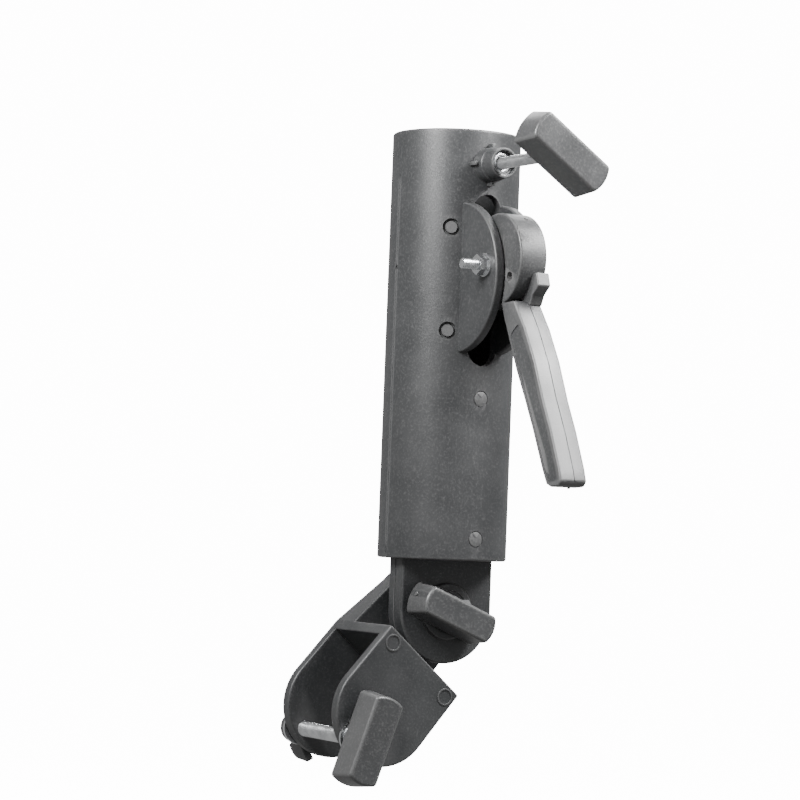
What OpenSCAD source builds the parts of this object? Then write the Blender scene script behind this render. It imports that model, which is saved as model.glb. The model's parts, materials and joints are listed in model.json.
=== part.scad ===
// Umbrella swivel bracket: a socket tube for the pole, a tilting half-lap hinge under it,
// and a U-shaped clamp that grips a sloping box rail.
// The origin is the middle of the face that sits on the rail. +Z runs along the socket.
// The knob side faces -Y.

/* [Socket tube] */
// Outside diameter of the tube
tube_od = 50; // [48:1:54]
// Wall thickness of the tube
tube_wall = 4; // [3.5:0.5:5]
// Length of the tube
tube_len = 165; // [160:1:200]
// Thickness of the floor that the pole stands on
floor_t = 5; // [4:1:8]

/* [Set screw] */
// Height of the set screw above the tube's lower rim
screw_up = 151.5; // [148:0.5:154]
// Reach of the boss from the tube's axis
boss_reach = 36; // [33:1:40]
// Radius of the boss at its end
boss_r = 6; // [5.5:0.5:7]
// Bare length of the screw between the boss and its handle
screw_bare = 34; // [12:1:40]

/* [Cam lever] */
// Height of the cam's pivot above the tube's lower rim
pivot_up = 111.5; // [108:0.5:114]
// Reach of the cam's pivot from the tube's axis
pivot_reach = 41.3; // [40:0.1:42]
// Radius of the round cheek plates
cheek_r = 29; // [28:0.5:31]
// Thickness of each cheek plate
cheek_t = 3.8; // [3:0.1:5]
// Clear width of the slot between the cheeks
slot_w = 12.4; // [11:0.1:13]
// Radius of the lever's round head
head_r = 17.7; // [17:0.1:18]

/* [Hinge] */
// Drop of the hinge axis below the tube's lower rim
hinge_drop = 20; // [19:0.5:24]
// Radius of the round tongue
tongue_r = 20.2; // [19:0.1:21]
// Thickness of the tongue
tongue_t = 10.6; // [9:0.1:12]
// Thickness of the lug behind the tongue
lug_t = 9.8; // [9:0.1:11]
// Radius of the lug's round end
lug_r = 18.5; // [17.5:0.1:19]
// Height of the hinge axis above the rail seat
hinge_above = 29.4; // [28.5:0.1:33]
// Offset of the hinge axis along the rail from the clamp's middle
hinge_along = 1; // [0:0.5:3]

/* [Rail clamp] */
// Slope of the rail, down towards +X
rail_slope = 41; // [0:1:45]
// Width of the clamp over both plates
clamp_w = 43.6; // [42:0.2:46]
// How far the knob side of the clamp stands in front of the hinge's middle
clamp_front = 20; // [19:0.5:21]
// Thickness of the clamp's plates
plate_t = 4.6; // [3:0.1:5]
// Thickness of the web between the plates
web_t = 4.5; // [4:0.5:6]
// Length of the web along the rail
web_len = 40.4; // [39:0.5:42]
// Depth of the plates' round centre below the rail seat
round_drop = 21.4; // [20:0.1:24]
// Radius of the plates' round end
round_r = 20.6; // [20:0.1:22]
// Depth of the clamp bolt below the rail seat
bolt_drop = 36.8; // [35:0.1:37]
// Offset of the clamp bolt along the rail
bolt_along = -3.6; // [-5:0.1:5]

/* [T handles] */
// Length of the clamp handle's back face between its corners
bar_len = 33.2; // [28:0.1:36]
// Width of the clamp handle's back face
bar_w = 13.6; // [12:0.1:15]
// Depth of a handle along its screw
bar_t = 13.2; // [11:0.1:15]
// How far the round ends stand past the corners
bar_bulge = 1.6; // [1:0.1:3]

/* [Hidden] */
$fn = 96;

eps = 0.01;
black = "#2c2d30";
dark_grey = "#3c3d40";
zinc = "#c9cbcd";
nylon = "#e4e1d8";

tube_r = tube_od / 2;
bore_r = tube_r - tube_wall;
cheek_out = slot_w / 2 + cheek_t;
cheek_y = -20;
cheek_z = 108;
slot_low = 74.4;
slot_high = 140.2;
rim_round = 1;

// Screws: radii of the shanks, and the running clearance round each of them
set_r = 2.2;
pivot_r = 2;
bolt_r = 3;
run_gap = 0.05;
face_gap = 0.1;
insert_r = 4;
insert_bore = 3.2;
tip_len = 3;
tip_clear = 0.5;
wall_land = bore_r + tip_clear;

// Cam: the drum's centre and the gripping lobe's centre, both from the pivot
drum_out = [0.3, 2.3];
lobe_off = 12;
lobe_angle = -30;
lobe_r = 9.7;
lever_w = slot_w - 0.8;

// The hinge axis in the bracket's own frame, and the tube's lower rim above it
hinge_x = hinge_along * cos(rail_slope) + hinge_above * sin(rail_slope);
hinge_z = hinge_above * cos(rail_slope) - hinge_along * sin(rail_slope);
rim_z = hinge_z + hinge_drop;
lug_y = tongue_t / 2 + 1 + face_gap;
lug_hub_t = 2.9;
nut_back = lug_y + lug_hub_t + lug_t;
hub_r = 11;
hub_t = 1.4;
front_y = -clamp_front;
back_y = clamp_w - clamp_front;

// Angles of the three handles, read from the front
set_handle_turn = 34;
hinge_handle_turn = 22.5;
clamp_handle_turn = 110;

// Each handle's back and front faces, as [length, width], and how far the hinge's bar
// stands off its screw in X and Z
set_back = [bar_len, 15];
set_front = [32.2, 11.8];
hinge_back = [31.4, 13];
hinge_front = [29.6, 10.8];
knob_back = [bar_len, bar_w];
knob_front = [30.6, 12.4];
hinge_handle_shift = [-2.8, -0.6];

washer_t = 1.2;
nut_pocket_t = 5.2;
m6_flats = 10;
m4_flats = 7;

// ---- placing helpers ----

// The tube's frame: its axis is Z and its lower rim is at z = 0
module at_tube() {
    translate([hinge_x, 0, rim_z]) children();
}

// The rail's frame: X runs down the rail and Z stands square to it
module on_rail() {
    rotate([0, rail_slope, 0]) children();
}

// A cylinder along Y from y0 to y1
module rod_y(r, y0, y1) {
    translate([0, y1, 0]) rotate([90, 0, 0]) cylinder(r = r, h = y1 - y0);
}

// A cylinder along X from x0 to x1
module rod_x(r, x0, x1) {
    translate([x0, 0, 0]) rotate([0, 90, 0]) cylinder(r = r, h = x1 - x0);
}

// A flat outline in X and Z, made solid from y0 to y1
module slab_y(y0, y1) {
    translate([0, y1, 0]) rotate([90, 0, 0]) linear_extrude(height = y1 - y0) children();
}

// A flat outline in Y and Z, made solid over the width w about x = 0
module slab_x(w) {
    rotate([90, 0, 90]) translate([0, 0, -w / 2]) linear_extrude(height = w) children();
}

// A hexagonal prism along Y, by its size across the flats
module hex_y(flats, y0, y1) {
    translate([0, y1, 0]) rotate([90, 0, 0]) cylinder(r = flats / sqrt(3), h = y1 - y0, $fn = 6);
}

function arc(cx, cy, r, a0, a1, steps) =
    [for (i = [0 : steps]) [cx + r * cos(a0 + (a1 - a0) * i / steps),
                            cy + r * sin(a0 + (a1 - a0) * i / steps)]];

// ---- socket tube and what is screwed into it ----

// Tube wall with rounded outer rims, turned from one profile
module tube_shell() {
    profile = concat(
        [[0, 0]],
        arc(tube_r - rim_round, rim_round, rim_round, -90, 0, 4),
        arc(tube_r - rim_round, tube_len - rim_round, rim_round, 0, 90, 4),
        [[bore_r + 0.6, tube_len], [bore_r, tube_len - 0.6], [bore_r, floor_t], [0, floor_t]]);
    rotate_extrude() polygon(profile);
}

// Two D-shaped cheek plates that carry the cam lever
module cheeks() {
    for (side = [-1, 1])
        intersection() {
            translate([side * (cheek_out + slot_w / 2) / 2, cheek_y, cheek_z])
                rod_x(cheek_r, -cheek_t / 2, cheek_t / 2);
            translate([-tube_r, -tube_od - tube_r + 2, 0]) cube([tube_od, tube_od, tube_len]);
        }
}

// Boss for the set screw, with a wider foot and four small gussets
module screw_boss() {
    foot = tube_r + 2.5;
    translate([0, 0, screw_up]) {
        rod_y(boss_r, -boss_reach, -tube_r + 2);
        rod_y(boss_r + 1.2, -foot, -tube_r + 2);
        for (turn = [0 : 90 : 270])
            rotate([0, turn, 0])
                translate([-0.8, -tube_r - 6, 0]) cube([1.6, 7, boss_r + 2.6]);
    }
}

// Round tongue under the tube, with a raised hub on its front face
module tongue() {
    translate([0, 0, -hinge_drop]) {
        slab_y(-tongue_t / 2, tongue_t / 2)
            union() {
                circle(r = tongue_r);
                translate([-tongue_r, 0]) square([2 * tongue_r, hinge_drop + 1]);
            }
        rod_y(hub_r, -tongue_t / 2 - hub_t, 0);
    }
}

// Opening for the cam, round at both ends
module cam_slot() {
    half = slot_w / 2;
    translate([-half, -tube_r - 1, slot_low + half])
        cube([slot_w, tube_wall + 6, slot_high - slot_low - slot_w]);
    for (z = [slot_low + half, slot_high - half])
        translate([0, 0, z]) rod_y(half, -tube_r - 1, -bore_r + 5);
}

// Shallow round marks that the mould's pins leave: [angle from the front, height]
module pin_marks() {
    mark_r = 3.2;
    for (m = [[0, 61.9], [0, 8.4], [-33, 127], [-33, 87.5], [33, 127], [33, 87.5]])
        translate([0, 0, m[1]]) rotate([0, 0, m[0]])
            rod_y(mark_r, -tube_r - 1, -tube_r + 0.45);
}

module socket_tube() {
    color(black) at_tube() difference() {
        union() {
            tube_shell();
            cheeks();
            screw_boss();
            tongue();
        }
        translate([0, 0, floor_t]) cylinder(r = bore_r, h = tube_len);
        cam_slot();
        pin_marks();
        translate([0, 0, screw_up]) rod_y(insert_r, -boss_reach - 1, -bore_r - 1.5);
        translate([0, 0, screw_up]) rod_y(insert_bore, -boss_reach, 0);
        translate([0, -pivot_reach, pivot_up]) rod_x(pivot_r + run_gap, -tube_r, tube_r);
        translate([0, 0, -hinge_drop]) rod_y(bolt_r + run_gap, -tube_r, tube_r);
    }
}

// Steel thread insert in the boss
module boss_insert() {
    color(zinc) at_tube() translate([0, 0, screw_up]) difference() {
        rod_y(insert_r, -boss_reach + 0.3, -bore_r - 1.5);
        rod_y(set_r + run_gap, -boss_reach - 1, 0);
    }
}

set_end = -boss_reach - screw_bare;

module set_screw() {
    anchor = 8;
    color(zinc) at_tube() translate([0, 0, screw_up]) {
        rod_y(set_r, set_end - anchor, -wall_land - tip_len - face_gap);
        hex_y(m4_flats, set_end - anchor, set_end - anchor + 4);
    }
}

// Nylon tip that bears on the pole: it slides with the screw and doesn't turn
module set_screw_tip() {
    color(nylon) at_tube() translate([0, 0, screw_up])
        rod_y(set_r - 0.1, -wall_land - tip_len, -wall_land);
}

// T handle in the plane square to its screw, its back face towards the part at y = 0.
// back and front are the two faces' [length, width], and shift moves the bar in X and Z
module t_handle(turn, shift, back, front, shank_r, anchor, flats) {
    half = back[0] / 2;
    end_r = (pow(back[1] / 2, 2) + pow(bar_bulge, 2)) / (2 * bar_bulge);
    end_a = asin(back[1] / 2 / end_r);
    mid = half + bar_bulge - end_r;
    lean = [front[0] / back[0], front[1] / back[1]];
    difference() {
        translate([shift[0], 0, shift[1]]) rotate([90, turn, 0])
            linear_extrude(height = bar_t, scale = lean, slices = 1)
                polygon(concat(arc(mid, 0, end_r, -end_a, end_a, 8),
                               arc(-mid, 0, end_r, 180 - end_a, 180 + end_a, 8)));
        rod_y(shank_r, -anchor, 1);
        hex_y(flats, -anchor, 4 - anchor);
    }
}

module set_screw_handle() {
    anchor = 8;
    color(black) at_tube() translate([0, set_end, screw_up])
        t_handle(set_handle_turn, [0, 0], set_back, set_front, set_r, anchor, m4_flats);
}

// ---- cam lever and its pivot ----

// Lever outline in Y and Z, from the pivot: drum, gripping lobe and arm
module lever_outline() {
    translate([-drum_out[0], drum_out[1]]) circle(r = head_r);
    translate([lobe_off * cos(lobe_angle), lobe_off * sin(lobe_angle)]) circle(r = lobe_r);
    polygon([[-2, -10], [-7, -13.9], [-14, -13.6], [-22, -24], [-29.4, -36.3],
             [-36, -50.5], [-42.3, -62.1], [-48.6, -75.8], [-50.2, -80.5], [-48.6, -82.4],
             [-43, -82.7], [-40.3, -81.7], [-37.3, -76.6], [-29.5, -61.3],
             [-23.2, -50.1], [-17, -39.7], [-7.2, -19.9], [-5, -14.5]]);
}

// Thumb catch over the arm's outer edge, on the +X half of the lever only
module thumb_catch() {
    catch_w = lever_w / 2 - 0.2;
    translate([lever_w / 2 - catch_w / 2, 0, 0]) slab_x(catch_w)
        polygon([[-15, -3.6], [-19.6, -2.9], [-21.2, -7.9], [-17.2, -11.4], [-15.4, -15.2],
                 [-10, -14.5], [-10, -11]]);
}

module cam_lever() {
    pin_hole = [-10.3, -4.4];
    side_dip = 0.5;
    color(black) at_tube() translate([0, -pivot_reach, pivot_up]) difference() {
        union() {
            slab_x(lever_w) lever_outline();
            thumb_catch();
        }
        rod_x(pivot_r + run_gap, -tube_r, tube_r);
        translate([0, pin_hole[0], pin_hole[1]]) rod_x(1.8, -lever_w, lever_w);
        for (side = [-1, 1])
            translate([side * lever_w / 2, 0, 0]) slab_x(2 * side_dip)
                polygon([[-17.3, -23], [-27.6, -37.2], [-34.1, -51.2], [-40.3, -62.8],
                         [-46.4, -76], [-47.4, -80], [-43, -80.8], [-39.2, -76.2],
                         [-31.3, -60.6], [-25, -49.3], [-18.9, -39]]);
    }
}

// Screw through the cheeks, its head on the +X side and its thread end past the nut
module cam_pivot_bolt() {
    color(zinc) at_tube() translate([0, -pivot_reach, pivot_up]) {
        rod_x(pivot_r, -cheek_out - 10.5, cheek_out + 1);
        difference() {
            rod_x(3.8, cheek_out + 1, cheek_out + 3.8);
            translate([cheek_out + 2.6, -0.6, -3]) cube([2, 1.2, 6]);
            translate([cheek_out + 2.6, -3, -0.6]) cube([2, 6, 1.2]);
        }
    }
}

module cam_pivot_nut() {
    color(zinc) at_tube() translate([0, -pivot_reach, pivot_up]) difference() {
        translate([-cheek_out - 4.2, 0, 0]) rotate([0, 90, 0])
            cylinder(r = m4_flats / sqrt(3), h = 3.2, $fn = 6);
        rod_x(pivot_r, -tube_r, 0);
    }
}

module cam_pivot_washers() {
    color(zinc) at_tube() translate([0, -pivot_reach, pivot_up])
        for (x = [-cheek_out - 1, cheek_out])
            difference() {
                rod_x(4.5, x, x + 1);
                rod_x(pivot_r, x - 1, x + 2);
            }
}

// ---- rail clamp ----

// Clamp plate: a straight top that widens slightly into a round end
module plate_outline() {
    half = web_len / 2;
    translate([0, -round_drop]) circle(r = round_r);
    polygon([[-half, web_t], [half, web_t], [round_r, -round_drop], [-round_r, -round_drop]]);
}

// Lug outline: the round end about the hinge, down to the full length of the web
module lug_outline() {
    half = web_len / 2;
    left = hinge_along + half;
    rise = hinge_above - web_t;
    base_l = sqrt(left * left + rise * rise);
    a_l = 180 + atan2(rise, left) - acos(lug_r / base_l);
    right = half - hinge_along;
    base_r = sqrt(right * right + rise * rise);
    a_r = -atan2(rise, right) + acos(lug_r / base_r);
    polygon([[-half, 0], [half, 0], [half, web_t],
             [hinge_along + lug_r * cos(a_r), hinge_above + lug_r * sin(a_r)],
             [hinge_along, hinge_above],
             [hinge_along + lug_r * cos(a_l), hinge_above + lug_r * sin(a_l)],
             [-half, web_t]]);
    translate([hinge_along, hinge_above]) circle(r = lug_r);
}

// Side profile of the lug: thin at the hinge, as thick as the web reaches at its foot
module lug_profile() {
    top = hinge_above + lug_r + 1;
    face = lug_y + lug_hub_t;
    polygon([[face, -eps], [back_y, -eps], [back_y, web_t],
             [nut_back, hinge_above - 2], [nut_back, top], [face, top]]);
}

// Raised rings round the mould's pin marks, near the top corners of both plates
module plate_rings() {
    for (x = [-15.2, 15.8])
        for (y = [front_y - 0.3, back_y - 0.5])
            translate([x, y, 0]) difference() {
                rod_y(3.3, 0, 0.8);
                rod_y(2.7, -1, 2);
            }
}

module clamp_body() {
    color(black) on_rail() difference() {
        union() {
            for (y = [front_y, back_y - plate_t])
                slab_y(y, y + plate_t) plate_outline();
            translate([-web_len / 2, front_y, 0]) cube([web_len, clamp_w, web_t]);
            intersection() {
                slab_y(0, back_y) lug_outline();
                slab_x(2 * tube_od) lug_profile();
            }
            translate([hinge_along, 0, hinge_above]) rod_y(hub_r, lug_y, lug_y + lug_hub_t + 1);
            plate_rings();
        }
        translate([hinge_along, 0, hinge_above]) {
            rod_y(bolt_r + run_gap, 0, clamp_w);
            hex_y(m6_flats, nut_back - nut_pocket_t, clamp_w);
        }
        translate([bolt_along, 0, -bolt_drop]) rod_y(bolt_r + run_gap, -clamp_w, clamp_w);
    }
}

// The clamp bolt's own frame: its axis through the origin along Y
module at_clamp_bolt() {
    on_rail() translate([bolt_along, 0, -bolt_drop]) rotate([0, -rail_slope, 0]) children();
}

collar_t = 3;
clamp_face = front_y - washer_t - 2 * face_gap - collar_t;
bolt_anchor = 9;
bolt_head_t = 4;
bolt_end = back_y + 6.4;

// Bolt with a collar under the handle and a hexagon moulded into the handle
module clamp_bolt() {
    color(zinc) at_clamp_bolt() {
        rod_y(bolt_r, clamp_face - bolt_anchor, bolt_end);
        rod_y(bolt_r + 2, clamp_face, clamp_face + collar_t);
        hex_y(m6_flats, clamp_face - bolt_anchor, clamp_face - bolt_anchor + bolt_head_t);
    }
}

module clamp_handle() {
    color(black) at_clamp_bolt() translate([0, clamp_face, 0])
        t_handle(clamp_handle_turn, [0, 0], knob_back, knob_front,
                 bolt_r, bolt_anchor, m6_flats);
}

module washer_y(y, hole) {
    difference() {
        rod_y(2 * bolt_r + 0.5, y, y + washer_t);
        rod_y(hole, y - 1, y + washer_t + 1);
    }
}

module clamp_washer() {
    color(zinc) at_clamp_bolt() washer_y(front_y - face_gap - washer_t, bolt_r + run_gap);
}

// ---- thumb nut behind the clamp ----

nut_y = back_y + washer_t + 2 * face_gap;
hub_len = 3.4;
insert_t = 3;
tab_w = 3.1;
tab_reach = 14.6;
tab_turn = 153;

module thumb_nut_washer() {
    color(zinc) at_clamp_bolt() washer_y(back_y + face_gap, bolt_r + run_gap);
}

// Side profile of the nut's tab in Y and Z, its far corner well rounded
module tab_outline() {
    near = nut_y + 0.6;
    far = near + 10.6;
    corner = 4;
    polygon(concat([[near, 0], [near, tab_reach]],
                   arc(far - corner, tab_reach - 1 - corner, corner, 90, 0, 6),
                   [[far, 8], [nut_y + hub_len, 4], [nut_y + hub_len, 0]]));
}

// Moulded thumb nut: a round hub with a pocket for its steel nut, and one tab that a
// finger holds while the knob in front is turned
module thumb_nut() {
    color(dark_grey) at_clamp_bolt() difference() {
        union() {
            rod_y(5.9, nut_y, nut_y + hub_len);
            rotate([0, tab_turn, 0]) slab_x(tab_w) tab_outline();
        }
        rod_y(bolt_r + run_gap, 0, clamp_w + hub_len);
        hex_y(m6_flats - 0.5, nut_y - 1, nut_y + insert_t);
    }
}

module thumb_nut_insert() {
    color(zinc) at_clamp_bolt() difference() {
        hex_y(m6_flats - 0.5, nut_y, nut_y + insert_t);
        rod_y(bolt_r + run_gap, 0, clamp_w);
    }
}

// ---- hinge hardware ----

module at_hinge() {
    translate([hinge_x, 0, hinge_z]) children();
}

hub_face = -tongue_t / 2 - hub_t;
hinge_face = hub_face - washer_t - 2 * face_gap;

module hinge_bolt() {
    color(zinc) at_hinge() {
        rod_y(bolt_r, hinge_face - bolt_anchor, nut_back + 0.5);
        hex_y(m6_flats, hinge_face - bolt_anchor, hinge_face - bolt_anchor + bolt_head_t);
    }
}

module hinge_handle() {
    color(black) at_hinge() translate([0, hinge_face, 0])
        t_handle(hinge_handle_turn, hinge_handle_shift, hinge_back, hinge_front,
                 bolt_r, bolt_anchor, m6_flats);
}

module hinge_washer() {
    color(zinc) at_hinge() washer_y(hub_face - face_gap - washer_t, bolt_r + run_gap);
}

// Steel nut held in the hexagonal pocket in the back of the lug
module hinge_nut() {
    color(zinc) at_hinge() rotate([0, rail_slope, 0]) difference() {
        hex_y(m6_flats, nut_back - nut_pocket_t, nut_back - 0.2);
        rod_y(bolt_r + run_gap, 0, clamp_w);
    }
}

// Thin fibre disc that gives the hinge its grip
module hinge_friction_disc() {
    color(dark_grey) at_hinge() difference() {
        rod_y(15, tongue_t / 2 + face_gap, lug_y);
        rod_y(bolt_r + run_gap, 0, clamp_w);
    }
}

socket_tube();
boss_insert();
set_screw();
set_screw_handle();
set_screw_tip();
cam_lever();
cam_pivot_bolt();
cam_pivot_nut();
cam_pivot_washers();
clamp_body();
clamp_bolt();
clamp_handle();
clamp_washer();
thumb_nut();
thumb_nut_insert();
thumb_nut_washer();
hinge_bolt();
hinge_handle();
hinge_washer();
hinge_nut();
hinge_friction_disc();
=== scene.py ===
# %% [markdown]
# # Umbrella swivel bracket
# A black nylon bracket holds an umbrella pole on a sloping rail. A socket tube takes the
# pole, a cam lever and a T-handled screw grip it, a half-lap hinge lets the tube tilt, and
# a U-shaped clamp holds the rail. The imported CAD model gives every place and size. This
# lesson gives each part the rounded edges, threads and finish of the real moulding.

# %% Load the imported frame
import json
import math

import bmesh
import bpy
from mathutils import Matrix, Vector


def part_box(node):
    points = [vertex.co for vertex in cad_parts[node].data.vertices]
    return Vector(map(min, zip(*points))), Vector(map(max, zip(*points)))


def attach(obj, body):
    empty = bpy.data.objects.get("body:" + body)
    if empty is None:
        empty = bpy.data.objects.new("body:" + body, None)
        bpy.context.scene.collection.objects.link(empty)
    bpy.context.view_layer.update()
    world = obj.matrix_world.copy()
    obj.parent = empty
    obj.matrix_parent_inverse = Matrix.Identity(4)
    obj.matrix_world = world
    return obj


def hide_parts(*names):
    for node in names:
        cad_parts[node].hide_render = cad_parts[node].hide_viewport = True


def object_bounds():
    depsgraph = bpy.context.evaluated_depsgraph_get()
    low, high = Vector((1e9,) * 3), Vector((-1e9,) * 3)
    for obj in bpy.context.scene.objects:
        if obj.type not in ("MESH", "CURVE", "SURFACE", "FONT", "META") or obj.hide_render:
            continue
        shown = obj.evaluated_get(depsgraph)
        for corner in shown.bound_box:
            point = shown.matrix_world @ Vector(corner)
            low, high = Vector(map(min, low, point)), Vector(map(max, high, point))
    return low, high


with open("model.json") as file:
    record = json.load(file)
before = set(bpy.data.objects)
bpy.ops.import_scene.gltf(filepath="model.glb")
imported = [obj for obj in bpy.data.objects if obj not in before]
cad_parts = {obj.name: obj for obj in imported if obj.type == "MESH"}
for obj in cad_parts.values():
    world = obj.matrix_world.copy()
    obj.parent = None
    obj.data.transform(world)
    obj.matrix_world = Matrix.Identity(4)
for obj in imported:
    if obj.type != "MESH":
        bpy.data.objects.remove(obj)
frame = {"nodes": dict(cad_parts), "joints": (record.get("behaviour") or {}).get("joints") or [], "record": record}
cad_box = [list(corner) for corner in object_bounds()]

# %% [markdown]
# ## Where things are
# A maker measures from working points: the hinge bolt, the lever's pivot, the set screw
# and the clamp's bolt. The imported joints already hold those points, so every piece is drawn
# in millimetres about one of them and then moved there by a matrix. That is safer than
# typing world positions, because the pieces follow the CAD model if it changes.

# %% Working points
MM = 0.001
joint_at = {j["name"]: Vector(j["pos_m"]) for j in frame["joints"] if "pos_m" in j}
seat = next(m for m in frame["record"]["mounts"] if m["name"] == "rail_seat")
slope = math.atan2(-seat["axis"][0], -seat["axis"][2])


def working_frame(x, y, z, turn=0.0):
    """Millimetres about a working point, turned about Y."""
    return Matrix.Translation((x, y, z)) @ Matrix.Rotation(turn, 4, "Y") @ Matrix.Scale(MM, 4)


hinge, pivot = joint_at["socket_tilt"], joint_at["cam_lever_swing"]
knob, grip = joint_at["set_screw_turn"], joint_at["clamp_knob_turn"]
TUBE_LENGTH = 165
tube_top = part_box("socket_tube")[1][2]
AT_TUBE = working_frame(hinge.x, 0, tube_top - TUBE_LENGTH * MM)
AT_HINGE = working_frame(hinge.x, 0, hinge.z)
AT_PIVOT = working_frame(*pivot)
AT_SET_SCREW = working_frame(knob.x, 0, knob.z)
AT_GRIP = working_frame(grip.x, 0, grip.z)
AT_RAIL = working_frame(0, 0, 0, slope)
print("rail slope: %.1f degrees" % math.degrees(slope))

# %% [markdown]
# ## Shaping helpers
# Nearly every part here is one of three things: a turned shape, a flat plate with a round
# end, or a prism cut from an outline. Each helper starts from a circle, a cube or a few
# points and lets a bmesh operator do the work: spin, convex hull or extrude. The parts are
# then joined and cut with the Boolean modifier, as a toolmaker builds up a mould cavity.

# %% Turned shapes
# M6 and M4 clearance holes, as radii, and the M6 nut's width across its flats
M6_HOLE, M4_HOLE, M6_FLATS = 3.05, 2.05, 10
LAY = {"X": Matrix.Rotation(math.pi / 2, 4, "Y"),
       "Y": Matrix.Rotation(-math.pi / 2, 4, "X"),
       "Z": Matrix.Identity(4)}


def turned(profile, along="Z", at=(0, 0, 0), ring=False, steps=72):
    """Spins [radius, height] points about an axis. A ring's profile is closed."""
    shape = bmesh.new()
    points = [shape.verts.new((radius, 0, height)) for radius, height in profile]
    if ring:
        points.append(points[0])
    lines = [shape.edges.new(pair) for pair in zip(points, points[1:])]
    bmesh.ops.spin(shape, geom=list(shape.verts) + lines, cent=(0, 0, 0), axis=(0, 0, 1),
                   angle=2 * math.pi, steps=steps, use_merge=True)
    bmesh.ops.remove_doubles(shape, verts=shape.verts, dist=0.001)
    bmesh.ops.dissolve_degenerate(shape, edges=shape.edges, dist=0.001)
    bmesh.ops.recalc_face_normals(shape, faces=shape.faces)
    shape.transform(Matrix.Translation(at) @ LAY[along])
    return shape


def rod(radius, low, high, along="Y", at=(0, 0, 0), steps=72):
    return turned([(0, low), (radius, low), (radius, high), (0, high)], along, at, steps=steps)


# %% Prisms, plates and blocks
def prism(outline, low, high, across="Y"):
    """An outline made solid from low to high. Across Y it is [x, z], across X it is [y, z]."""
    shape = bmesh.new()
    flat = [(u, low, v) if across == "Y" else (low, u, v) for u, v in outline]
    face = shape.faces.new([shape.verts.new(place) for place in flat])
    grown = bmesh.ops.extrude_face_region(shape, geom=[face])["geom"]
    step = (0, high - low, 0) if across == "Y" else (high - low, 0, 0)
    bmesh.ops.translate(shape, vec=step,
                        verts=[v for v in grown if isinstance(v, bmesh.types.BMVert)])
    bmesh.ops.recalc_face_normals(shape, faces=shape.faces)
    return shape


def plate(rounds, corners, low, high, across="Y"):
    """The smallest plate round some circles [u, v, radius] and some corners [u, v]."""
    shape = bmesh.new()
    for depth in (low, high):
        for u, v, radius in rounds:
            at = (u, depth, v) if across == "Y" else (depth, u, v)
            bmesh.ops.create_circle(shape, cap_ends=False, segments=96, radius=radius,
                                    matrix=Matrix.Translation(at) @ LAY[across])
        for u, v in corners:
            shape.verts.new((u, depth, v) if across == "Y" else (depth, u, v))
    hull = bmesh.ops.convex_hull(shape, input=shape.verts)
    inside = [v for v in hull["geom_interior"] if isinstance(v, bmesh.types.BMVert)]
    bmesh.ops.delete(shape, geom=inside, context="VERTS")
    bmesh.ops.dissolve_limit(shape, angle_limit=math.radians(1), verts=shape.verts,
                             edges=shape.edges)
    bmesh.ops.recalc_face_normals(shape, faces=shape.faces)
    return shape


def block(low, high):
    size = Vector(high) - Vector(low)
    middle = (Vector(high) + Vector(low)) / 2
    shape = bmesh.new()
    bmesh.ops.create_cube(shape, size=1,
                          matrix=Matrix.Translation(middle) @ Matrix.Diagonal((*size, 1)))
    return shape


# %% [markdown]
# ## Rounded edges
# No moulded edge is truly sharp, and it is the thin bright line along each edge that makes
# a moulding look real. A bevel with a few segments is picked by the angle between the two
# faces of an edge, so flat facets of a round wall are left alone.

# %% Rounding and joining
def soften(shape, radius, segments=3, sharper_than=35, only=None):
    """Rounds the sharp edges of a shape, or those that the test 'only' accepts."""
    shape.normal_update()
    edges = [e for e in shape.edges if len(e.link_faces) == 2
             and e.calc_face_angle(0) > math.radians(sharper_than)
             and (only is None or only((e.verts[0].co + e.verts[1].co) / 2))]
    bmesh.ops.bevel(shape, geom=edges, offset=radius, offset_type="OFFSET", segments=segments,
                    profile=0.5, affect="EDGES", clamp_overlap=True, material=-1)
    return shape


def stand(shape, name):
    """A plain object from a shape, used up by a later step."""
    shape.normal_update()
    mesh = bpy.data.meshes.new(name)
    shape.to_mesh(mesh)
    shape.free()
    obj = bpy.data.objects.new(name, mesh)
    bpy.context.scene.collection.objects.link(obj)
    return obj


def work(shape, tools, how):
    """Joins the tools to a shape, or cuts them from it, with Boolean modifiers."""
    base = stand(shape, "work")
    helpers = [stand(tool, "tool") for tool in tools]
    for helper in helpers:
        step = base.modifiers.new(how, "BOOLEAN")
        step.operation, step.solver, step.object = how, "EXACT", helper
    seen = base.evaluated_get(bpy.context.evaluated_depsgraph_get())
    mesh = bpy.data.meshes.new_from_object(seen)
    result = bmesh.new()
    result.from_mesh(mesh)
    bmesh.ops.remove_doubles(result, verts=result.verts, dist=0.004)
    bmesh.ops.dissolve_degenerate(result, edges=result.edges, dist=0.004)
    for obj in [base] + helpers:
        bpy.data.meshes.remove(obj.data)
    bpy.data.meshes.remove(mesh)
    return result


def joined(shape, *tools):
    return work(shape, tools, "UNION")


def cut(shape, *tools):
    return work(shape, tools, "DIFFERENCE")


def together(*shapes):
    """Puts several closed shapes into one, without cutting them."""
    whole = bmesh.new()
    for shape in shapes:
        mesh = bpy.data.meshes.new("part")
        shape.to_mesh(mesh)
        whole.from_mesh(mesh)
        bpy.data.meshes.remove(mesh)
        shape.free()
    return whole


# %% [markdown]
# ## Finishes
# A finish is more than a colour. Moulded nylon has a fine spark-eroded grain, cloudy patches
# where the glass fibre comes to the surface, pale scuffs, and edges that have been rubbed.
# Each of those is its own noise, at its own real size, read in Object coordinates so that
# it is fixed to the part. Sizes are in metres, so a scale of 1000 gives one-millimetre grain.

# %% Node helpers
def new_finish(name):
    finish = bpy.data.materials.new(name)
    finish.use_nodes = True
    return finish, finish.node_tree.nodes, finish.node_tree.links


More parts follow.
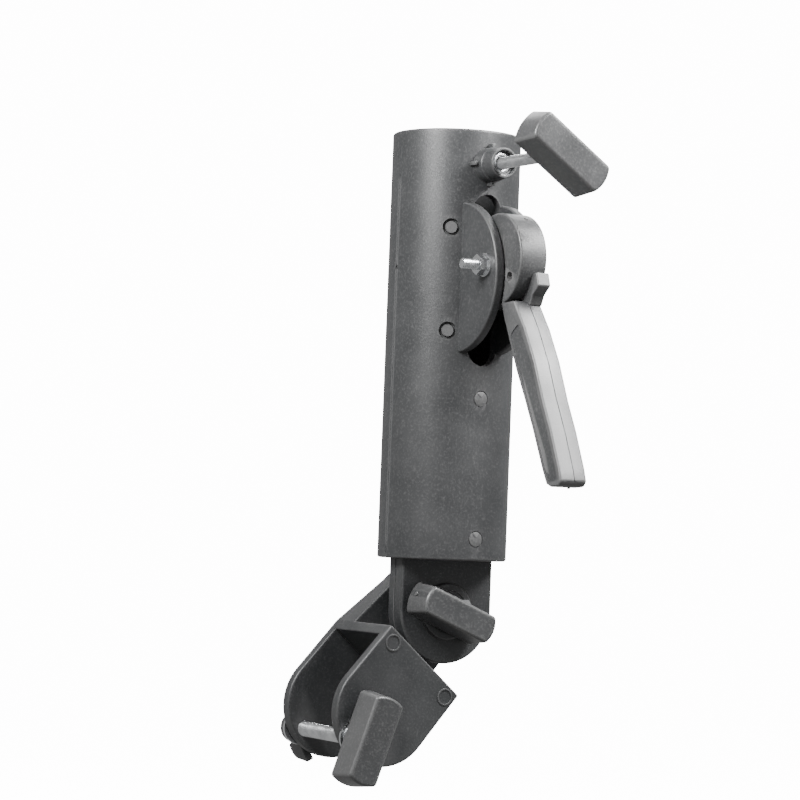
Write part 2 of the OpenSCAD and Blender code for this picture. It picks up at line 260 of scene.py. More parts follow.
def noise(nodes, links, scale, detail=2.0, stretch=(1, 1, 1), rough=0.5):
    """A noise fixed to the piece, its cells 1/scale metres across."""
    where = nodes.new("ShaderNodeTexCoord")
    mapping = nodes.new("ShaderNodeMapping")
    mapping.inputs["Scale"].default_value = stretch
    texture = nodes.new("ShaderNodeTexNoise")
    texture.inputs["Scale"].default_value = scale
    texture.inputs["Detail"].default_value = detail
    texture.inputs["Roughness"].default_value = rough
    links.new(where.outputs["Object"], mapping.inputs["Vector"])
    links.new(mapping.outputs["Vector"], texture.inputs["Vector"])
    return texture.outputs["Fac"]


def spread(nodes, links, value, low, high, to_low, to_high):
    """Stretches a value from one range to another."""
    step = nodes.new("ShaderNodeMapRange")
    step.inputs["From Min"].default_value = low
    step.inputs["From Max"].default_value = high
    step.inputs["To Min"].default_value = to_low
    step.inputs["To Max"].default_value = to_high
    links.new(value, step.inputs["Value"])
    return step.outputs["Result"]


def blend_colour(nodes, links, share, first, second):
    """Mixes two colours, each an RGB tuple or a socket, by a share."""
    mix = nodes.new("ShaderNodeMix")
    mix.data_type = "RGBA"
    links.new(share, mix.inputs[0])
    for socket, colour in ((mix.inputs[6], first), (mix.inputs[7], second)):
        if isinstance(colour, tuple):
            socket.default_value = (*colour, 1)
        else:
            links.new(colour, socket)
    return mix.outputs[2]


def bumps(nodes, links, layers):
    """Stacks bump maps, each [height, strength, distance in metres]."""
    normal = None
    for height, strength, distance in layers:
        step = nodes.new("ShaderNodeBump")
        step.inputs["Strength"].default_value = strength
        step.inputs["Distance"].default_value = distance
        links.new(height, step.inputs["Height"])
        if normal is not None:
            links.new(normal, step.inputs["Normal"])
        normal = step.outputs["Normal"]
    return normal


# %% Moulded nylon
def moulded_nylon(name, dark, pale, rubbed, gloss, grain=0.3, scuff=0.5):
    """Black glass-filled nylon. gloss is its range of roughness, [low, high]."""
    finish, nodes, links = new_finish(name)
    shader = nodes["Principled BSDF"]
    cloud = noise(nodes, links, 60, 4)
    fine = noise(nodes, links, 1150, 3, rough=0.7)
    scratch = noise(nodes, links, 380, 5, stretch=(1, 1, 0.45), rough=0.65)
    colour = blend_colour(nodes, links, spread(nodes, links, cloud, 0.32, 0.68, 0, 1), dark, pale)
    colour = blend_colour(nodes, links, spread(nodes, links, fine, 0.50, 0.72, 0, 0.5),
                          colour, rubbed)
    colour = blend_colour(nodes, links, spread(nodes, links, scratch, 0.64, 0.74, 0, scuff),
                          colour, rubbed)
    edge = nodes.new("ShaderNodeNewGeometry").outputs["Pointiness"]
    colour = blend_colour(nodes, links, spread(nodes, links, edge, 0.515, 0.56, 0, 0.8),
                          colour, rubbed)
    links.new(colour, shader.inputs["Base Color"])
    links.new(spread(nodes, links, cloud, 0.3, 0.7, gloss[0], gloss[1]),
              shader.inputs["Roughness"])
    links.new(bumps(nodes, links, [(cloud, 0.2, 0.0004), (scratch, 0.15, 0.0001),
                                   (fine, grain, 0.00014)]), shader.inputs["Normal"])
    shader.inputs["Specular IOR Level"].default_value = 0.5
    return finish


tube_nylon = moulded_nylon("moulded_nylon_tube", (0.021, 0.022, 0.023), (0.031, 0.032, 0.033),
                           (0.085, 0.085, 0.086), (0.38, 0.46))
# The lever's copy of the nylon carries painted light: its tones are painted paler for the strong light on the
# upper parts, while its extra scuffs are wear.
lit_painted_nylon = moulded_nylon("moulded_nylon_lit_painted", (0.026, 0.027, 0.028), (0.044, 0.045, 0.046),
                            (0.12, 0.12, 0.12), (0.36, 0.5), 0.35, 0.7)
# The clamp's copy of the nylon carries painted shade: its tones are painted darker for the dim light low down.
shade_painted_nylon = moulded_nylon("moulded_nylon_shade_painted", (0.018, 0.019, 0.020), (0.028, 0.029, 0.030),
                            (0.07, 0.07, 0.071), (0.42, 0.5))
handle_nylon = moulded_nylon("handle_nylon", (0.022, 0.023, 0.024), (0.034, 0.035, 0.036),
                             (0.12, 0.12, 0.12), (0.30, 0.40), 0.2, 0.35)
nut_nylon = moulded_nylon("nut_nylon", (0.02, 0.02, 0.021), (0.032, 0.032, 0.033),
                          (0.09, 0.09, 0.09), (0.36, 0.46))


# %% [markdown]
# ## Steel, natural nylon and fibre
# The screws are bright zinc plate: a metal with a slightly uneven sheen and hair-fine
# streaks. The screw's tip is milky natural nylon, and the friction disc is pressed fibre,
# which is dark, dull and flecked. Both are nearly hidden, but they still get their own grain.

# %% Zinc, tip and fibre
def zinc_plate(name, dull, bright, gloss):
    finish, nodes, links = new_finish(name)
    shader = nodes["Principled BSDF"]
    cloud = noise(nodes, links, 240, 4)
    streak = noise(nodes, links, 1500, 2, stretch=(1, 0.15, 1))
    share = spread(nodes, links, cloud, 0.3, 0.7, 0, 1)
    links.new(blend_colour(nodes, links, share, dull, bright), shader.inputs["Base Color"])
    links.new(spread(nodes, links, streak, 0.3, 0.7, gloss[0], gloss[1]),
              shader.inputs["Roughness"])
    links.new(bumps(nodes, links, [(cloud, 0.08, 0.0001), (streak, 0.06, 0.00003)]),
              shader.inputs["Normal"])
    shader.inputs["Metallic"].default_value = 1.0
    return finish


def plain_moulding(name, dark, pale, gloss, scale):
    """A part that is nearly hidden: a speckle, a sheen and a fine bump."""
    finish, nodes, links = new_finish(name)
    shader = nodes["Principled BSDF"]
    speck = noise(nodes, links, scale, 3, rough=0.7)
    share = spread(nodes, links, speck, 0.35, 0.65, 0, 1)
    links.new(blend_colour(nodes, links, share, dark, pale), shader.inputs["Base Color"])
    links.new(spread(nodes, links, speck, 0.3, 0.7, gloss - 0.05, gloss + 0.05),
              shader.inputs["Roughness"])
    links.new(bumps(nodes, links, [(speck, 0.3, 0.0001)]), shader.inputs["Normal"])
    return finish


zinc = zinc_plate("zinc_steel", (0.56, 0.57, 0.58), (0.80, 0.81, 0.82), (0.16, 0.28))
natural_nylon = plain_moulding("tip_nylon", (0.68, 0.66, 0.60), (0.78, 0.76, 0.71), 0.45, 900)
pressed_fibre = plain_moulding("fibre_disc", (0.03, 0.028, 0.026), (0.08, 0.075, 0.07), 0.8, 1500)
FINISH_OF = {"moulded_nylon": tube_nylon, "handle_nylon": handle_nylon, "nut_nylon": nut_nylon,
             "tip_nylon": natural_nylon, "fibre_disc": pressed_fibre, "zinc_steel": zinc}

# %% [markdown]
# ## Finish the CAD parts that stay
# The small hidden hardware keeps its CAD mesh, which is never changed. Only its material
# slots are filled, from the slot that the record names for each node.

# %% Give every CAD node its finish
for part in frame["record"]["subparts"]:
    node = frame["nodes"][part["node"]]
    node.data.materials.clear()
    node.data.materials.append(FINISH_OF[part["material_slot"]])

# %% [markdown]
# ## Bring a shape into the scene
# A finished piece sits at the origin with its place in its mesh, rides on its CAD body and
# hides the CAD node that it stands for. Smooth shading with a weighted normal keeps the
# flat faces flat while the rounded edges catch the light.

# %% Finished pieces
def piece(name, shape, where, node, finish, rides_only=False):
    """Places a shape, dresses it and lets it replace its CAD node, or only ride with it."""
    shape.transform(where)
    obj = stand(shape, name)
    obj.data.materials.append(finish)
    obj.data.shade_smooth()
    obj.data.set_sharp_from_angle(angle=math.radians(38))
    obj.modifiers.new("flat faces stay flat", "WEIGHTED_NORMAL").keep_sharp = True
    body = next(b for b, names in frame["record"]["behaviour"]["bodies"].items() if node in names)
    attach(obj, body)
    if not rides_only:
        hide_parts(node)
    print(name, "on", body, "faces:", len(obj.data.polygons))
    return obj


# %% [markdown]
# ## The tube
# The socket is a deep cup turned from one profile, with small rounded rims. The cam's slot
# is cut through its front, and its mouth is rounded before anything is joined to it, while
# its edges are still simple. The wall has a ring of points every 3 mm, so that a cut in one
# place can't disturb the shading of the whole length. A fine witness line runs down the -X
# side where the two halves of the mould met.

# %% Tube with its slot
TUBE_R, BORE_R, FLOOR = 25, 21, 5
SLOT_HALF, SLOT_LOW, SLOT_HIGH = 6.2, 74.4, 140.2
RING = 3
wall = [(TUBE_R, height) for height in range(RING, TUBE_LENGTH, RING)]
tube = turned([(0, 0), (TUBE_R, 0), *wall, (TUBE_R, TUBE_LENGTH), (BORE_R, TUBE_LENGTH),
               (BORE_R, FLOOR), (0, FLOOR)], steps=128)
soften(tube, 0.9, 4)
slot_cutter = plate([(0, SLOT_LOW + SLOT_HALF, SLOT_HALF), (0, SLOT_HIGH - SLOT_HALF, SLOT_HALF)],
                    [], -TUBE_R - 3, -BORE_R + 5)
tube = cut(tube, slot_cutter)
soften(tube, 0.6, 3, 50, lambda p: abs(p.x) < SLOT_HALF + 0.4 and p.y < -BORE_R - 1
       and SLOT_LOW - 0.4 < p.z < SLOT_HIGH + 0.8)
print("tube faces:", len(tube.faces))

# %% [markdown]
# ## Cheeks, boss and tongue
# Two D-shaped cheeks carry the lever's pivot. The boss for the set screw has a wider foot,
# four small gussets and a groove round its steel insert. Under the tube hangs the round
# tongue of the hinge, with a raised hub and a thin parting line round its edge.

# %% Parts that stand on the tube
CHEEK_Y, CHEEK_Z, CHEEK_R, CHEEK_OUT = -20, 108, 29, 10
PIVOT = (-41.3, 111.5)
cheeks = []
for low, high in ((-CHEEK_OUT, -SLOT_HALF), (SLOT_HALF, CHEEK_OUT)):
    cheek = rod(CHEEK_R, low, high, "X", (0, CHEEK_Y, CHEEK_Z), steps=144)
    bmesh.ops.bisect_plane(cheek, geom=list(cheek.verts) + list(cheek.edges) + list(cheek.faces),
                           plane_co=(0, -21.8, 0), plane_no=(0, 1, 0), clear_outer=True)
    bmesh.ops.holes_fill(cheek, edges=cheek.edges)
    cheeks.append(soften(cheek, 0.9, 4, only=lambda p: p.y < -22.5))

SCREW_UP, BOSS_END = 151.5, -36
INSERT_R = 4
boss = turned([(INSERT_R, BOSS_END + 1.6), (4.6, BOSS_END + 1.6), (4.6, BOSS_END + 0.4),
               (4.9, BOSS_END), (5.8, BOSS_END), (6.2, -29.6), (6.5, -29.4), (6.9, -22),
               (INSERT_R, -22)], "Y", (0, 0, SCREW_UP), ring=True)
soften(boss, 0.35, 3, 40)
GUSSET_IN, GUSSET_OUT, GUSSET_HALF = 5, 8.2, 0.8


def gusset_span(way):
    """From low to high across the boss: out to one side, or the gusset's own thickness."""
    return sorted((way * GUSSET_IN, way * GUSSET_OUT)) if way else (-GUSSET_HALF, GUSSET_HALF)


gussets = []
for side, up in ((-1, 0), (1, 0), (0, -1), (0, 1)):
    (left, right), (under, over) = gusset_span(side), gusset_span(up)
    gussets.append(soften(block((left, -28, SCREW_UP + under), (right, -23, SCREW_UP + over)),
                          0.3, 2))

DROP, TONGUE_R, TONGUE_HALF = -20, 20.2, 5.3
tongue = plate([(0, DROP, TONGUE_R)], [(-TONGUE_R, 1), (TONGUE_R, 1)], -TONGUE_HALF, TONGUE_HALF)
soften(tongue, 1.0, 4, only=lambda p: p.z < 0.5)
parting = plate([(0, DROP, TONGUE_R + 0.15)], [(-TONGUE_R - 0.15, 0.5), (TONGUE_R + 0.15, 0.5)],
                0.2, 0.7)
hub = turned([(0, 0), (11, 0), (11, -TONGUE_HALF - 1.4), (8.4, -TONGUE_HALF - 1.4),
              (8.1, -TONGUE_HALF - 1.1), (0, -TONGUE_HALF - 1.1)], "Y", (0, 0, DROP))
soften(hub, 0.7, 4, only=lambda p: math.hypot(p.x, p.z - DROP) > 10)
print("tongue faces:", len(tongue.faces))

# %% [markdown]
# ## Marks that the mould leaves
# Round pin marks show on the tube: two faint discs low on the front, level with the wall but
# ringed by a fine groove, and four sunk ones beside the cheeks, each with a deeper groove
# round its edge. They are cut with small turned tools, laid radially, because a real dent
# shades rightly from every side.

# %% Pin marks, witness line and holes
def radial(tool, angle, height):
    """Turns a tool drawn along Y round the tube to an angle from the front."""
    tool.transform(Matrix.Translation((0, 0, height)) @ Matrix.Rotation(angle, 4, "Z"))
    return tool


DISC_HEIGHTS, SUNK_HEIGHTS, SUNK_ANGLES = (61.9, 8.4), (127, 87.5), (-33, 33)
cutters = []
for height in DISC_HEIGHTS:
    groove = turned([(2.85, -TUBE_R - 1), (3.15, -TUBE_R - 1), (3.15, -TUBE_R + 0.35),
                     (2.85, -TUBE_R + 0.35)], "Y", ring=True, steps=48)
    cutters.append(radial(groove, 0, height))
for height in SUNK_HEIGHTS:
    for angle in SUNK_ANGLES:
        sunk = turned([(0, -TUBE_R - 1), (3.3, -TUBE_R - 1), (3.3, -TUBE_R + 1.5),
                       (2.6, -TUBE_R + 1.5), (2.3, -TUBE_R + 0.45), (0, -TUBE_R + 0.45)],
                      "Y", steps=48)
        cutters.append(radial(sunk, math.radians(angle), height))
cutters.append(block((-TUBE_R - 1, -0.14, 2), (-TUBE_R + 0.2, 0.14, 148)))
cutters.append(rod(0.7, -TUBE_R - 1, -TUBE_R + 0.5, "X", (0, 0, 112), steps=24))
cutters.append(rod(3.2, -30, -15, "Y", (0, 0, SCREW_UP)))
cutters.append(rod(INSERT_R, -BORE_R - 3, -BORE_R - 1.5, "Y", (0, 0, SCREW_UP)))
cutters.append(rod(M4_HOLE, -12, 12, "X", (0, *PIVOT), steps=48))
cutters.append(rod(M6_HOLE, -12, 12, "Y", (0, 0, DROP), steps=48))

socket = joined(tube, *cheeks, boss, *gussets, tongue, parting, hub)
socket = cut(socket, *cutters)
piece("socket_tube_moulding", socket, AT_TUBE, "socket_tube", tube_nylon)

# %% The two smooth discs on the front
discs = []
for height in DISC_HEIGHTS:
    disc = soften(rod(2.75, -TUBE_R - 0.02, -TUBE_R + 1, steps=48), 0.12, 2)
    nick = block((-0.9, -TUBE_R - 1, -0.2), (0.9, -TUBE_R + 0.35, 0.2))
    nick.transform(Matrix.Translation((-0.4, 0, 1)) @ Matrix.Rotation(0.6, 4, "Y"))
    discs.append(radial(cut(disc, nick), 0, height))
# The discs wear the copy of the nylon that is painted paler, as painted light.
piece("tube_pin_discs", together(*discs), AT_TUBE, "socket_tube", lit_painted_nylon,
      rides_only=True)

# %% [markdown]
# ## The cam lever
# The lever has a round drum that fills the space between the cheeks, a hidden lobe that
# presses on the pole, a thumb catch on one half and a long flat arm. The arm is a prism with
# rounded edges. A thin groove cut down its outer face leaves the fine dark parting line of
# the mould, and a shallow dip leaves a raised border round each side.

# %% Lever arm
LEVER_HALF = 5.8
ARM = [(-2, -10), (-7, -13.9), (-14, -13.6), (-22, -24), (-29.4, -36.3), (-36, -50.5),
       (-42.3, -62.1), (-48.6, -75.8), (-50.2, -80.5), (-48.6, -82.4), (-43, -82.7),
       (-40.3, -81.7), (-37.3, -76.6), (-29.5, -61.3), (-23.2, -50.1), (-17, -39.7),
       (-7.2, -19.9), (-5, -14.5)]
DIP = [(-18.2, -23), (-27.6, -37.2), (-34.1, -51.2), (-40.3, -62.8), (-46.4, -76),
       (-47.2, -79.2), (-46, -80.6), (-43.4, -80.8), (-41.4, -79.8), (-39.2, -76.2),
       (-31.3, -60.6), (-25, -49.3), (-18.9, -39), (-12.9, -27), (-13.3, -25.6),
       (-17, -22.9)]
SEAM, OUTWARD = 0.4, Vector((-0.87, 0.49))
arm = prism(ARM, -LEVER_HALF, LEVER_HALF, "X")
soften(arm, 1.0, 3, 45)
dips = [soften(prism(DIP, side - 0.35, side + 0.35, "X"), 0.25, 2)
        for side in (-LEVER_HALF, LEVER_HALF)]
outer_edge = [Vector(p) for p in ARM[2:9]]
groove = prism([p + OUTWARD for p in outer_edge] + [p - 0.3 * OUTWARD
                                                    for p in reversed(outer_edge)],
               SEAM - 0.16, SEAM + 0.16, "X")
arm = cut(arm, groove, *dips)
print("arm faces:", len(arm.faces))

# %% Drum, lobe and thumb catch
DRUM_AT, DRUM_R = (0, -0.3, 2.3), 17.7
LOBE_AT, LOBE_R = (0, 10.4, -6), 9.7
CATCH = [(-15, -3.6), (-19.6, -2.9), (-21.2, -7.9), (-17.2, -11.4), (-15.4, -15.2),
         (-10, -14.5), (-10, -11)]
drum = rod(DRUM_R, -LEVER_HALF, LEVER_HALF, "X", DRUM_AT, steps=96)
soften(drum, 0.8, 4)
lobe = soften(rod(LOBE_R, -LEVER_HALF, LEVER_HALF, "X", LOBE_AT, steps=64), 0.6, 3)
catch = soften(prism(CATCH, 0.2, LEVER_HALF, "X"), 0.55, 3, 20)
nib = rod(0.55, 0, 1.3, "Z", (SEAM, -46.2, -83.2), steps=16)
lever = joined(arm, drum, lobe, catch, soften(nib, 0.2, 2))
lever = cut(lever, rod(M4_HOLE, -9, 9, "X", steps=48),
            rod(1.8, -9, 9, "X", (0, -10.3, -4.4), steps=32),
            rod(0.8, -2, 4, "Z", (1.2, -9.2, 17.2), steps=20))
# The lever wears the copy of the nylon that is painted paler, as painted light.
piece("cam_lever_moulding", lever, AT_PIVOT, "cam_lever", lit_painted_nylon)

# %% [markdown]
# ## The rail clamp
# The clamp is a U of two plates and a web, with a lug that rises behind the hinge's tongue.
# Each plate is the smallest shape round one circle and two corners, which is just what a
# convex hull gives. The lug's back leans in towards the hinge, so a wedge is cut from it
# before its edges are rounded.

# %% Plates, web and lug
FRONT_Y, BACK_Y, PLATE_T, WEB_T, WEB_HALF = -20, 23.6, 4.6, 4.5, 20.2
ROUND = (0, -21.4, 20.6)
HINGE_UP, HINGE_ALONG, LUG_R = 29.4, 1, 18.5
LUG_FACE, LUG_BACK, LUG_FOOT = 9.3, 19.1, BACK_Y - 0.1
BOLT_AT = (-3.6, 0, -36.8)
plates = [soften(plate([ROUND], [(-WEB_HALF, WEB_T), (WEB_HALF, WEB_T)], low, low + PLATE_T),
                 0.8, 4) for low in (FRONT_Y, BACK_Y - PLATE_T)]
web = soften(block((-WEB_HALF, FRONT_Y + 0.6, 0), (WEB_HALF, BACK_Y - 0.6, WEB_T)), 0.4, 3)
lug = plate([(HINGE_ALONG, HINGE_UP, LUG_R)],
            [(-WEB_HALF, 0.5), (WEB_HALF, 0.5), (-WEB_HALF, WEB_T), (WEB_HALF, WEB_T)],
            LUG_FACE, LUG_FOOT)
wedge = prism([(LUG_FOOT, WEB_T), (LUG_BACK, HINGE_UP - 2), (LUG_BACK, 60), (40, 60),
               (40, WEB_T)], -40, 40, "X")
lug = soften(cut(lug, wedge), 0.9, 4, 30)
hub_back = soften(rod(11, 6.4, LUG_FACE + 1, "Y", (HINGE_ALONG, 0, HINGE_UP)), 0.5, 3)
rings = [soften(turned([(2.6, FRONT_Y - 0.3), (3.3, FRONT_Y - 0.3), (3.3, FRONT_Y + 0.5),
                        (2.6, FRONT_Y + 0.5)], "Y", (x, 0, 0), ring=True, steps=40), 0.15, 2)
         for x in (-15.2, 15.8)]
bolt_hole = rod(M6_HOLE, -40, 40, "Y", BOLT_AT, steps=48)
hinge_hole = rod(M6_HOLE, 0, 40, "Y", (HINGE_ALONG, 0, HINGE_UP), steps=48)
nut_pocket = rod(M6_FLATS / math.sqrt(3), LUG_BACK - 5.2, 40, "Y", (HINGE_ALONG, 0, HINGE_UP),
                 steps=6)
clamp = joined(web, *plates, lug, hub_back, *rings)
clamp = cut(clamp, bolt_hole, hinge_hole, nut_pocket)
# The clamp wears the copy of the nylon that is painted darker, as painted shade.
piece("clamp_moulding", clamp, AT_RAIL, "clamp_body", shade_painted_nylon)


# %% [markdown]
# ## T handles
# Each handle is a tapered bar with convex ends, its larger face towards the part. It starts
# as a cube: the front face is drawn in, the edges across its width are subdivided, and the
# new points are pushed out along a parabola to make the ends convex. Then every edge is
# rounded. The middle handle also keeps a small gate mark on one end.

# %% Make the three handles
BAR_DEPTH, BULGE = 13.2, 1.6


def t_handle(name, where, node, turn, back, front, y, shift=(0, 0), gate_up=None):
    bar = bmesh.new()
    bmesh.ops.create_cube(bar, size=1, matrix=Matrix.Translation((0, 0, 0.5)))
    across = [e for e in bar.edges if abs(e.verts[0].co.y - e.verts[1].co.y) > 0.5]
    bmesh.ops.subdivide_edges(bar, edges=across, cuts=9, use_grid_fill=True)
    for v in bar.verts:
        size = Vector(back).lerp(Vector(front), v.co.z)
        bulge = BULGE * (1 - (2 * v.co.y) ** 2)
        v.co = (v.co.x * size.x + math.copysign(bulge, v.co.x), v.co.y * size.y,
                v.co.z * BAR_DEPTH)
    soften(bar, 1.1, 4, 30)
    if gate_up is not None:
        end = -back[0] / 2
        gate = rod(0.9, end - BULGE - 0.1, end + 1, "X", (0, gate_up, 5), steps=20)
        bar = joined(bar, soften(gate, 0.15, 2))
    bar.transform(Matrix.Translation((shift[0], y, shift[1]))
                  @ Matrix.Rotation(math.radians(turn), 4, "Y")
                  @ Matrix.Rotation(math.pi / 2, 4, "X"))
    return piece(name, bar, where, node, handle_nylon)


def back_face(node):
    """Where a node's +Y face stands, in millimetres."""
    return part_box(node)[1][1] / MM


t_handle("set_screw_t_handle", AT_SET_SCREW, "set_screw_handle", 34, (33.2, 15), (32.2, 11.8),
         back_face("set_screw_handle"))
t_handle("hinge_t_handle", AT_HINGE, "hinge_handle", 22.5, (31.4, 13), (29.6, 10.8),
         back_face("hinge_handle"), (-2.8, -0.6), gate_up=1)
t_handle("clamp_t_handle", AT_GRIP, "clamp_handle", 110, (33.2, 13.6), (30.6, 12.4),
         back_face("clamp_handle"))


# %% [markdown]
# ## Screw threads
# A thread is one V-shaped profile, a pitch long, spun round the axis while it climbs one
# pitch a turn. The spin operator does both at once when it is given a step along the axis.
# The ragged helical ends are then cut flat and closed, and the last points are drawn in as
# the chamfer of a real screw.

# %% Threaded rods
def threaded(crest, root, pitch, low, high, along="Y", at=(0, 0, 0), steps=28):
    rod_shape = bmesh.new()
    climb = [(root, 0), (root, 0.1), (crest, 0.42), (crest, 0.58), (root, 0.9), (root, 1)]
    points = [rod_shape.verts.new((r, 0, h * pitch)) for r, h in climb]
    lines = [rod_shape.edges.new(pair) for pair in zip(points, points[1:])]
    turns = math.ceil((high - low) / pitch) + 2
    bmesh.ops.spin(rod_shape, geom=points + lines, cent=(0, 0, 0), axis=(0, 0, 1),
                   dvec=(0, 0, pitch / steps), angle=2 * math.pi * turns, steps=steps * turns)
    bmesh.ops.remove_doubles(rod_shape, verts=rod_shape.verts, dist=0.002)
    bmesh.ops.translate(rod_shape, vec=(0, 0, low - 1.5 * pitch), verts=rod_shape.verts)
    for height, side in ((low, -1), (high, 1)):
        everything = list(rod_shape.verts) + list(rod_shape.edges) + list(rod_shape.faces)
        bmesh.ops.bisect_plane(rod_shape, geom=everything, plane_co=(0, 0, height),
                               plane_no=(0, 0, side), clear_outer=True)
        rim = [e for e in rod_shape.edges if e.is_boundary
               and all(abs(v.co.z - height) < 0.001 for v in e.verts)]
        bmesh.ops.edgeloop_fill(rod_shape, edges=rim)
        for v in rod_shape.verts:
            if abs(v.co.z - height) < 0.001:
                v.co.x *= 0.86
                v.co.y *= 0.86
    bmesh.ops.recalc_face_normals(rod_shape, faces=rod_shape.faces)
    rod_shape.transform(Matrix.Translation(at) @ LAY[along])
    return rod_shape


# %% Set screw and clamp bolt
set_screw = threaded(2.3, 1.95, 0.8, back_face("set_screw_handle") - 3, back_face("set_screw"))
piece("set_screw_thread", set_screw, AT_SET_SCREW, "set_screw", zinc)

bolt_low, bolt_high = (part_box("clamp_bolt")[i][1] / MM for i in (0, 1))
collar_back = back_face("clamp_handle")
bolt = together(threaded(3, 2.6, 1.0, collar_back + 2, bolt_high),
                soften(rod(5, collar_back, collar_back + 3), 0.4, 3),
                rod(2.9, bolt_low + 1, collar_back + 0.5))
piece("clamp_bolt_thread", bolt, AT_GRIP, "clamp_bolt", zinc)

# %% [markdown]
# ## Nuts, washers and the pivot screw
# A nut is a six-sided rod whose corners are trimmed by a cone, and a washer is a ring with
# lightly rounded edges, as it comes from the press. The pivot screw passes right through
# both cheeks, with a crossed recess in its round head and a few turns showing past its nut.

# %% Pivot hardware
def nut(flats, hole, low, high, along, at=(0, 0, 0)):
    body = rod(flats / math.sqrt(3), low, high, along, at, steps=6)
    rim, top = flats / 2 + 0.05, (high - low) * 0.16
    trim = turned([(0, low - 0.01), (rim, low - 0.01), (rim + 1.2, low + top),
                   (rim + 1.2, high - top), (rim, high + 0.01), (0, high + 0.01)], along, at)
    return cut(work(body, [trim], "INTERSECT"), rod(hole, low - 1, high + 1, along, at, steps=40))


def washer(outer, hole, low, high, along, at=(0, 0, 0)):
    ring = turned([(hole, low), (outer, low), (outer, high), (hole, high)], along, at, ring=True)
    return soften(ring, 0.18, 2)


pivot_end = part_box("cam_pivot_bolt")[0][0] / MM - pivot.x / MM
head = turned([(0, CHEEK_OUT + 1), (3.8, CHEEK_OUT + 1), (3.7, CHEEK_OUT + 2.2),
               (2.6, CHEEK_OUT + 3.4), (0, CHEEK_OUT + 3.8)], "X", steps=48)
recess = [block((CHEEK_OUT + 2.4, -0.5, -1.9), (CHEEK_OUT + 5, 0.5, 1.9)),
          block((CHEEK_OUT + 2.4, -1.9, -0.5), (CHEEK_OUT + 5, 1.9, 0.5))]
pivot_screw = together(threaded(2, 1.68, 0.7, pivot_end, -2, "X"),
                       rod(1.95, -2.5, CHEEK_OUT + 1.5, "X", steps=40), cut(head, *recess))
piece("pivot_screw", pivot_screw, AT_PIVOT, "cam_pivot_bolt", zinc)
piece("pivot_nut", nut(7, 1.9, -CHEEK_OUT - 4.2, -CHEEK_OUT - 1, "X"), AT_PIVOT,
      "cam_pivot_nut", zinc)
pivot_washers = together(washer(4.5, M4_HOLE, -CHEEK_OUT - 1, -CHEEK_OUT, "X"),
                         washer(4.5, M4_HOLE, CHEEK_OUT, CHEEK_OUT + 1, "X"))
piece("pivot_washers", pivot_washers, AT_PIVOT, "cam_pivot_washers", zinc)

# %% Threaded insert in the boss
insert = soften(turned([(2.45, BOSS_END + 1.9), (INSERT_R, BOSS_END + 1.9), (INSERT_R, -22.6),
                        (2.45, -22.6)], "Y", ring=True), 0.25, 3)
piece("boss_insert_ring", insert, AT_SET_SCREW, "boss_insert", zinc)

# %% Washers on the three M6 bolts
for node, where in (("clamp_washer", AT_GRIP), ("thumb_nut_washer", AT_GRIP),
                    ("hinge_washer", AT_HINGE)):
    low, high = (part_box(node)[i][1] / MM for i in (0, 1))
    piece(node + "_ring", washer(6.5, M6_HOLE, low, high, "Y"), where, node, zinc)

# %% [markdown]
# ## The thumb nut
# Behind the clamp a moulded hub holds a steel nut, and one tab stands out from it for a
# finger. The tab is a prism with a well rounded far corner, rounded all over and joined to
# the turned hub.

# %% Thumb nut
nut_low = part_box("thumb_nut")[0][1] / MM
nut_hub = soften(rod(5.9, nut_low, nut_low + 3.4), 0.5, 3)
tab = prism([(nut_low + 0.6, 0), (nut_low + 0.6, 14.6), (nut_low + 11.2, 13.6),
             (nut_low + 11.2, 8), (nut_low + 3.4, 4), (nut_low + 3.4, 0)], -1.55, 1.55, "X")
soften(tab, 3.2, 6, 60, lambda p: abs(p.x) < 0.1 and p.y > nut_low + 11 and p.z > 13)
soften(tab, 0.5, 3, 40, lambda p: p.z > 0.5)
tab.transform(Matrix.Rotation(math.radians(153), 4, "Y"))
nut_seat = rod(9.6 / math.sqrt(3), nut_low - 1, nut_low + 3, steps=6)
thumb = cut(joined(nut_hub, tab), rod(M6_HOLE, 0, 60), nut_seat)
piece("thumb_nut_moulding", thumb, AT_GRIP, "thumb_nut", nut_nylon)

# %% [markdown]
# ## Stage, light and camera
# A pale floor bends up into a wall all round. The paper glows, so that it stays white in
# view, but it doesn't light the part: black plastic is lit by what it reflects, and that is
# left to four soft lights and a white world. The one on the left draws the long highlight
# down the tube, the one above brings out the lever, the small one in front is caught by the
# flat face of the upper handle, and the one behind draws the rims.

# %% Floor and backdrop
FLOOR_Z = cad_box[0][2] - 0.10
FLOOR_R, BEND, WALL = 3.0, 1.0, 4.0
bowl = bmesh.new()
centre = bowl.verts.new((0, 0, FLOOR_Z))
rim = bowl.verts.new((FLOOR_R, 0, FLOOR_Z))
knee = bowl.verts.new((FLOOR_R + BEND, 0, FLOOR_Z + BEND))
crown = bowl.verts.new((FLOOR_R + BEND, 0, FLOOR_Z + BEND + WALL))
lines = [bowl.edges.new(pair) for pair in ((centre, rim), (rim, knee), (knee, crown))]
bmesh.ops.spin(bowl, geom=list(bowl.verts) + lines, cent=(0, 0, 0), axis=(0, 0, 1),
               angle=2 * math.pi, steps=96, use_merge=True)
bmesh.ops.remove_doubles(bowl, verts=bowl.verts, dist=0.0001)
bmesh.ops.recalc_face_normals(bowl, faces=bowl.faces)
bmesh.ops.reverse_faces(bowl, faces=bowl.faces)
floor = stand(bowl, "floor")
floor.data.shade_smooth()
pale, pale_nodes, pale_links = new_finish("pale_paper")
paper = noise(pale_nodes, pale_links, 30, 3)
paper_shader = pale_nodes["Principled BSDF"]
pale_links.new(blend_colour(pale_nodes, pale_links, paper, (0.88, 0.88, 0.88), (0.91, 0.91, 0.91)),
               paper_shader.inputs["Base Color"])
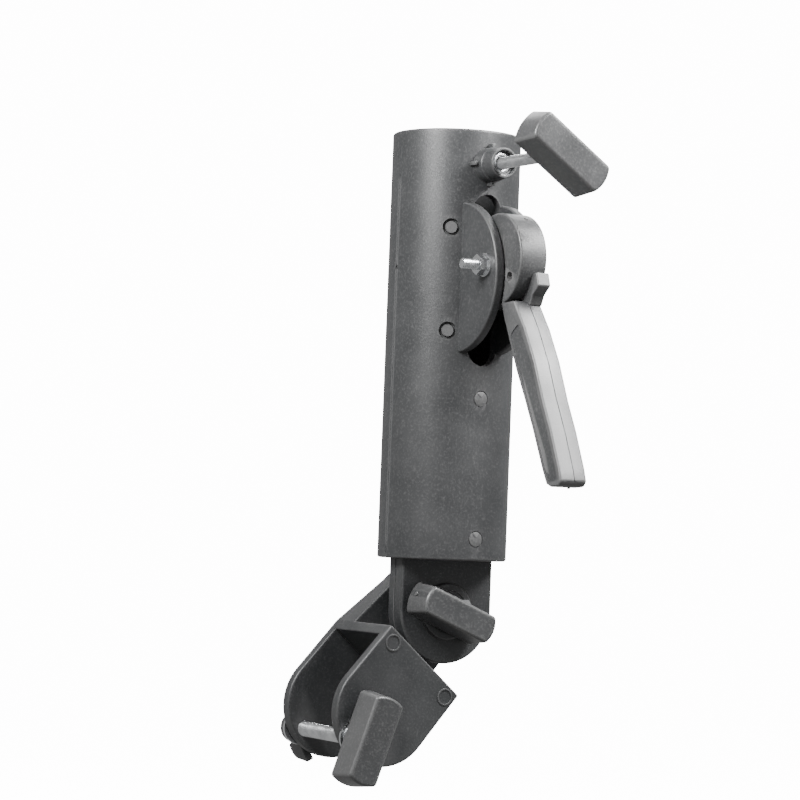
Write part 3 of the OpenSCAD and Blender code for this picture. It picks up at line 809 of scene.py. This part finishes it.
paper_shader.inputs["Roughness"].default_value = 0.9
paper_shader.inputs["Emission Color"].default_value = (1, 1, 1, 1)
paper_shader.inputs["Emission Strength"].default_value = 14.0
floor.data.materials.append(pale)
floor.visible_diffuse = floor.visible_glossy = floor.visible_shadow = False

# %% Lights
world = bpy.data.worlds.new("soft_white")
world.use_nodes = True
sky = world.node_tree.nodes["Background"]
sky.inputs["Color"].default_value = (1, 1, 1, 1)
sky.inputs["Strength"].default_value = 0.42
bpy.context.scene.world = world


def softbox(name, aim, away, size, watts):
    """A square area light, placed at an offset from the point that it faces."""
    lamp = bpy.data.lights.new(name, "AREA")
    lamp.size, lamp.energy = size, watts
    obj = bpy.data.objects.new(name, lamp)
    turn = (-Vector(away)).to_track_quat("-Z", "Y").to_matrix().to_4x4()
    obj.matrix_world = Matrix.Translation(Vector(aim) + Vector(away)) @ turn
    bpy.context.scene.collection.objects.link(obj)


softbox("left_of_tube", pivot, (-0.38, -0.10, 0.22), 0.18, 6)
softbox("above_lever", pivot, (0.26, -0.24, 0.40), 0.25, 9)
softbox("before_handle", knob, (0.20, -0.30, 0.20), 0.12, 2.6)
softbox("rim_behind", pivot, (0.3, 0.6, 0.5), 0.5, 4)

# %% Camera
VIEW_AZ, VIEW_EL, VIEW_ROLL = (math.radians(a) for a in (-29.7804, -2.27457, 2.19783))
VIEW_FROM, SENSOR_MM, LENS_MM = Vector((-545.167, -950.625, 58.834)), 36, 127.96
back = Vector((math.sin(VIEW_AZ) * math.cos(VIEW_EL), -math.cos(VIEW_AZ) * math.cos(VIEW_EL),
               math.sin(VIEW_EL)))
right = Vector((math.cos(VIEW_AZ), math.sin(VIEW_AZ), 0))
upward = back.cross(right)
side = math.cos(VIEW_ROLL) * right + math.sin(VIEW_ROLL) * upward
top = math.cos(VIEW_ROLL) * upward - math.sin(VIEW_ROLL) * right
lens = bpy.data.cameras.new("camera")
lens.sensor_width, lens.lens = SENSOR_MM, LENS_MM
camera = bpy.data.objects.new("camera", lens)
camera.matrix_world = (Matrix.Translation(VIEW_FROM * MM)
                       @ Matrix((side, top, back)).transposed().to_4x4())
bpy.context.scene.collection.objects.link(camera)
bpy.context.scene.camera = camera
